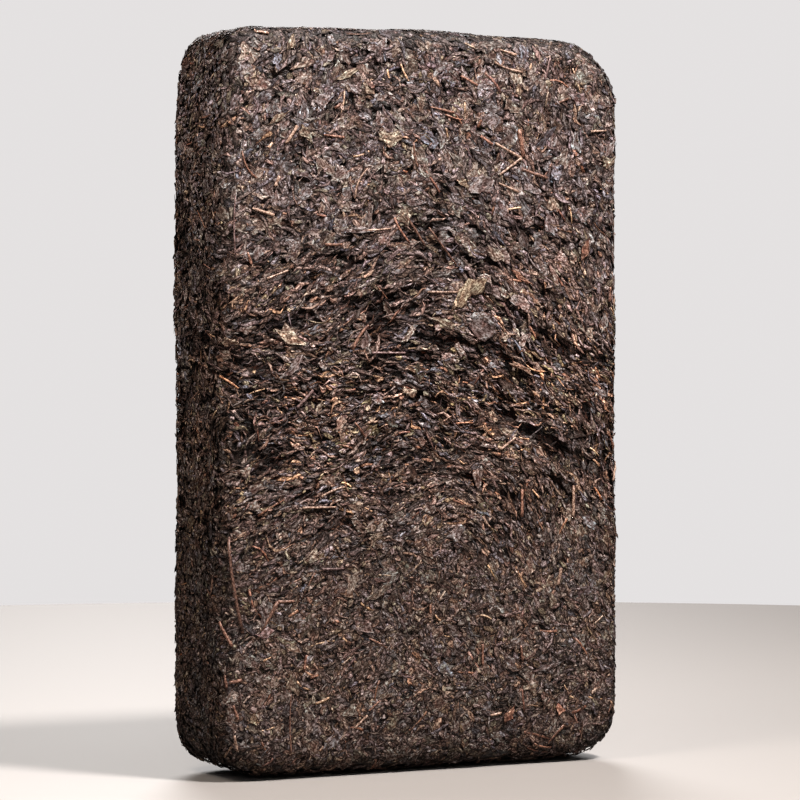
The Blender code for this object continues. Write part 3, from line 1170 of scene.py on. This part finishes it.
# The camera stands this many degrees to the left of the front, in metres from the middle.
CAMERA_TURN = 27.5
CAMERA_DISTANCE = 1.087
CAMERA_HEIGHT = 0.133
CAMERA_AIM = (0.0006, 0.0, 0.122)
SENSOR = 36.0
LENS = 146.25

FLOOR_RADIUS = 0.76
FLOOR_COLOUR = (0.155, 0.142, 0.133)
FLOOR_ROUGHNESS = 0.7

# Lights: name, place and aim in metres, size, power in watts and colour.
LIGHTS = [
    ("key", (0.22, -0.47, 0.96), (0, 0, 0.13), 0.16, 30, (1.0, 0.97, 0.95)),
    ("top", (0.5, -0.6, 1.8), (0, 0, 0), 1.2, 10, (1.0, 0.98, 0.97)),
    ("left", (-0.30, -0.10, 0.46), (-0.07, 0, 0.20), 0.2, 2.2, (1.0, 0.93, 0.85)),
    ("front", (-0.60, -1.10, 0.40), (0, 0, 0.10), 0.4, 5, (1.0, 0.97, 0.95)),
    ("back", (0.5, 1.4, 0.8), (0, 0, 0.12), 0.8, 22, (1.0, 0.98, 0.97)),
]

# How bright the surroundings are as a light, and as the backdrop that the camera sees.
WORLD_LIGHT = 0.07
WORLD_SEEN = 0.70
WORLD_COLOUR = (0.945, 0.92, 0.92)


def aimed(name, data, place, aim):
    """A camera or light that stands at a place and looks at another."""
    thing = linked(name, data)
    thing.location = place
    thing.rotation_euler = (Vector(aim) - Vector(place)).to_track_quat("-Z", "Y").to_euler()
    return thing


def camera():
    data = bpy.data.cameras.new("camera")
    data.sensor_width = SENSOR
    data.lens = LENS
    turn = math.radians(CAMERA_TURN)
    place = (-math.sin(turn) * CAMERA_DISTANCE, -math.cos(turn) * CAMERA_DISTANCE, CAMERA_HEIGHT)
    bpy.context.scene.camera = aimed("camera", data, place, CAMERA_AIM)


def floor():
    bpy.ops.mesh.primitive_circle_add(vertices=128, radius=FLOOR_RADIUS, fill_type="NGON")
    material = bpy.data.materials.new("pale_floor")
    material.use_nodes = True
    tree = material.node_tree
    look = {"Base Color": (*FLOOR_COLOUR, 1.0), "Roughness": FLOOR_ROUGHNESS}
    feed(tree, tree.nodes["Principled BSDF"], look)
    thing = bpy.context.active_object
    thing.name = "floor"
    thing.data.materials.append(material)


def lights():
    for name, place, aim, size, power, colour in LIGHTS:
        data = bpy.data.lights.new(name, "AREA")
        data.shape = "DISK"
        data.size = size
        data.energy = power
        data.color = colour
        aimed(name, data, place, aim)


def surroundings():
    world = bpy.data.worlds.new("studio")
    world.use_nodes = True
    tree = world.node_tree
    seen = tree.nodes.new("ShaderNodeLightPath").outputs["Is Camera Ray"]
    strength = range_node(tree, seen, 0, 1, WORLD_LIGHT, WORLD_SEEN)
    look = {"Color": (*WORLD_COLOUR, 1.0), "Strength": strength}
    feed(tree, tree.nodes["Background"], look)
    bpy.context.scene.world = world


# ---- the whole

def main():
    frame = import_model()
    low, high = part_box(NODE)
    mesh = smooth_copy(frame["nodes"][NODE])
    brick = Brick(Skin(mesh), np.array([low, high]))

    core_look = leaf_material("core_leaf", 0.6, 1.2, 0.8, TORN_PAINTED_SHADING, own_grain=False)
    looks = {
        "torn_leaf": leaf_material("torn_leaf", 0.6, 2.0, 0.18, TORN_PAINTED_SHADING, gloss=0.14, rim=True),
        "dry_leaf": leaf_material("dry_leaf", 0.6, 1.8, 0.18, EVEN_LEAF_PAINTED_SHADING, gloss=0.10),
        "dry_stem": leaf_material("dry_stem", 0.45, 2.2, 0.2, EVEN_LEAF_PAINTED_SHADING),
    }

    base = core(brick, mesh, core_look)
    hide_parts(NODE)
    pieces = [base] + [brick.spread(kind, looks[kind.look]) for kind in KINDS]
    pieces.append(front_stems(brick, looks["dry_stem"]))
    pieces.append(front_leaves(brick, looks["dry_leaf"]))
    for piece in pieces:
        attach(piece, BODY)

    floor()
    lights()
    surroundings()
    camera()
    view = bpy.context.scene.view_settings
    view.view_transform = "Standard"
    view.look = "Medium High Contrast"


main()
